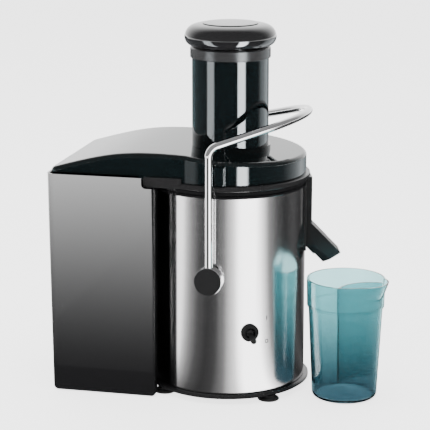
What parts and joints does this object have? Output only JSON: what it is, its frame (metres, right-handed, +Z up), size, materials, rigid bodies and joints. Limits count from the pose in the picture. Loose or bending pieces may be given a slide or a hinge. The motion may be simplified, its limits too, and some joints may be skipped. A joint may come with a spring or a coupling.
{
  "type": "centrifugal juicer",
  "caption": "Upright centrifugal juicer: steel-wrapped motor body, spinning grater basket, wide feed tube with pusher, locking bail, pulp container and separate juice cup.",
  "frame": {"origin": "on the surface it stands on, in the middle of the whole footprint, which is within a millimetre of the motor axis", "axes": "+Z up the motor axis, -Y towards the switch side (front), -X towards the pulp container, +X towards the spout and cup"},
  "size_m": [0.3537, 0.1958, 0.3892],
  "materials": {
    "brushed_steel": "vertical-lit brushed stainless wrap, grain round the body",
    "chrome": "polished chrome plate",
    "gloss_black": "high-gloss black moulding",
    "satin_black": "semi-gloss black moulding",
    "smoked_clear": "smoked clear moulding",
    "pusher_black": "gloss black moulding",
    "cup_clear": "blue-green clear moulding",
    "separator_clear": "blue-green clear moulding",
    "rubber": "moulded rubber",
    "moulding": "plain inner moulding",
    "zinc_steel": "plated and ground steel",
    "stainless": "etched stainless sheet",
    "cast_alloy": "pressed alloy",
    "copper": "enamelled copper",
    "acetal": "slippery white polymer",
    "carbon": "carbon graphite"
  },
  "bodies": {
    "root": {"base_pan": "satin_black", "base_screws": "zinc_steel", "brush_holders": "moulding", "carbon_brushes": "carbon", "chassis": "moulding", "chassis_wall": "moulding", "cord_gland": "satin_black", "feed_tube": "smoked_clear", "feed_tube_rim": "satin_black", "field_coils": "copper", "foot_front_left": "rubber", "foot_front_right": "rubber", "foot_rear_left": "rubber", "foot_rear_right": "rubber", "interlock_switch": "satin_black", "juice_bowl": "satin_black", "lid": "smoked_clear", "lower_bearing": "zinc_steel", "lower_bracket": "cast_alloy", "motor_bolts": "zinc_steel", "motor_deck": "moulding", "mount_screws": "zinc_steel", "notch_gasket": "rubber", "pivot_bushes": "acetal", "shaft_seal": "rubber", "spout_chute": "satin_black", "spout_nozzle": "satin_black", "stator_core": "zinc_steel", "steel_shell": "brushed_steel", "switch_body": "satin_black", "switch_nut": "satin_black", "top_ring": "gloss_black", "upper_bearing": "zinc_steel", "upper_bracket": "cast_alloy", "vibration_mounts": "rubber"},
    "rotor": {"motor_shaft": "zinc_steel", "armature_core": "zinc_steel", "armature_windings": "copper", "commutator": "copper", "cooling_fan": "moulding", "drive_coupling": "moulding", "basket_hub": "moulding", "basket_mesh": "stainless", "basket_rim": "moulding", "grater_disc": "stainless"},
    "bail": {"locking_bail": "chrome", "pivot_knob_front": "chrome", "pivot_knob_rear": "chrome", "knob_cap_front": "satin_black", "knob_cap_rear": "satin_black", "pivot_shaft_front": "zinc_steel", "pivot_shaft_rear": "zinc_steel", "interlock_cam": "moulding"},
    "pusher": {"pusher_stem": "pusher_black", "pusher_cap": "gloss_black"},
    "container": {"pulp_container": "gloss_black"},
    "cup": {"juice_cup": "cup_clear", "froth_separator": "separator_clear"},
    "lever": {"toggle_lever": "satin_black"},
    "button": {"interlock_button": "moulding"}
  },
  "joints": [
    {"name": "basket_spin", "type": "hinge", "parent": "root", "child": "rotor", "pos_m": [0.00032, 0, 0.15], "axis": [0, 0, 1], "continuous": true},
    {"name": "bail_swing", "type": "hinge", "parent": "root", "child": "bail", "pos_m": [0.00032, 0, 0.135], "axis": [0, 1, 0], "range_deg": [0, 60]},
    {"name": "interlock_press", "type": "slide", "parent": "root", "child": "button", "axis": [1, 0, 0], "range_m": [0, 0.0012]},
    {"name": "pusher_slide", "type": "slide", "parent": "root", "child": "pusher", "axis": [0, 0, 1], "range_m": [0, 0.17]},
    {"name": "container_slide", "type": "slide", "parent": "root", "child": "container", "axis": [-1, 0, 0], "range_m": [0, 0.14]},
    {"name": "cup_slide", "type": "slide", "parent": "root", "child": "cup", "axis": [0, 1, 0], "range_m": [-0.06, 0.05]},
    {"name": "toggle_flip", "type": "hinge", "parent": "root", "child": "lever", "pos_m": [0.03869, -0.07066, 0.0765], "axis": [-0.8788, -0.4772, 0], "range_deg": [0, 34]}
  ],
  "couplings": [
    {"joint": "interlock_press", "follows": "bail_swing", "m_per_rad": 0.0011459}
  ]
}
